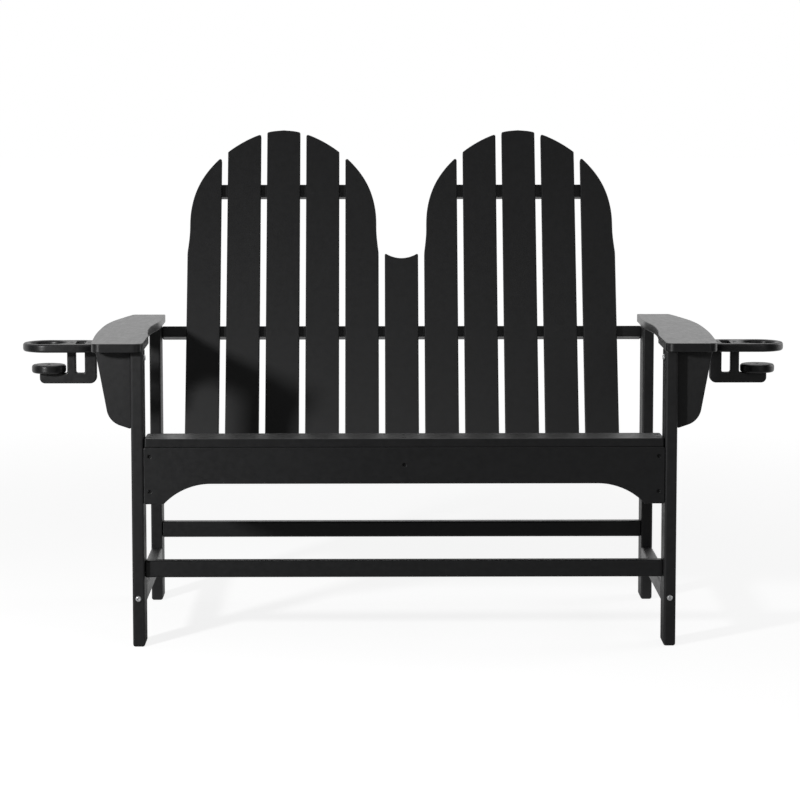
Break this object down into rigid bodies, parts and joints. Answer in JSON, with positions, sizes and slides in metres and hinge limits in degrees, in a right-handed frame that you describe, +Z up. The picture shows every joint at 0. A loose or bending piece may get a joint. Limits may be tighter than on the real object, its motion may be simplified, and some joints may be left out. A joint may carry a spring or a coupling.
{
  "type": "adirondack loveseat",
  "caption": "Black poly lumber adirondack loveseat with twin fan-shaped slatted backs, contoured slat seat, wide flat arms and cup holders with phone slots outside the arms.",
  "frame": {"origin": "centre of the bounding box's bottom, on the ground between the four legs", "axes": "+X towards the right arm as seen from the front, +Y from the front to the back, +Z up"},
  "size_m": [1.7312, 0.8522, 1.129],
  "materials": {
    "lumber": "satin black solid poly lumber with a fine grain, edges eased",
    "steel": "bright stainless"
  },
  "bodies": {
    "root": {"arm_bracket_left": "lumber", "arm_bracket_right": "lumber", "arm_left": "lumber", "arm_right": "lumber", "back_rail_arm": "lumber", "back_rail_fan_left": "lumber", "back_rail_fan_right": "lumber", "back_rail_foot": "lumber", "back_slat_01": "lumber", "back_slat_02": "lumber", "back_slat_03": "lumber", "back_slat_04": "lumber", "back_slat_05": "lumber", "back_slat_06": "lumber", "back_slat_07": "lumber", "back_slat_08": "lumber", "back_slat_09": "lumber", "back_slat_10": "lumber", "back_slat_11": "lumber", "bracket_bolt_left": "steel", "bracket_bolt_right": "steel", "cup_coaster_left": "lumber", "cup_coaster_right": "lumber", "cup_hanger_left": "lumber", "cup_hanger_right": "lumber", "cup_plate_left": "lumber", "cup_plate_right": "lumber", "front_apron": "lumber", "front_leg_left": "lumber", "front_leg_right": "lumber", "front_stretcher": "lumber", "rear_leg_left": "lumber", "rear_leg_right": "lumber", "rear_stretcher": "lumber", "seat_board_1": "lumber", "seat_board_2": "lumber", "seat_board_3": "lumber", "seat_board_4": "lumber", "seat_board_5": "lumber", "seat_rail_centre": "lumber", "seat_rail_left": "lumber", "seat_rail_rear": "lumber", "seat_rail_right": "lumber", "side_bolt_front_left": "steel", "side_bolt_front_right": "steel", "side_bolt_rear_left": "steel", "side_bolt_rear_right": "steel", "side_stretcher_left": "lumber", "side_stretcher_right": "lumber", "stretcher_bolt_front_left": "steel", "stretcher_bolt_front_right": "steel", "stretcher_bolt_rear_left": "steel", "stretcher_bolt_rear_right": "steel"}
  },
  "joints": []
}
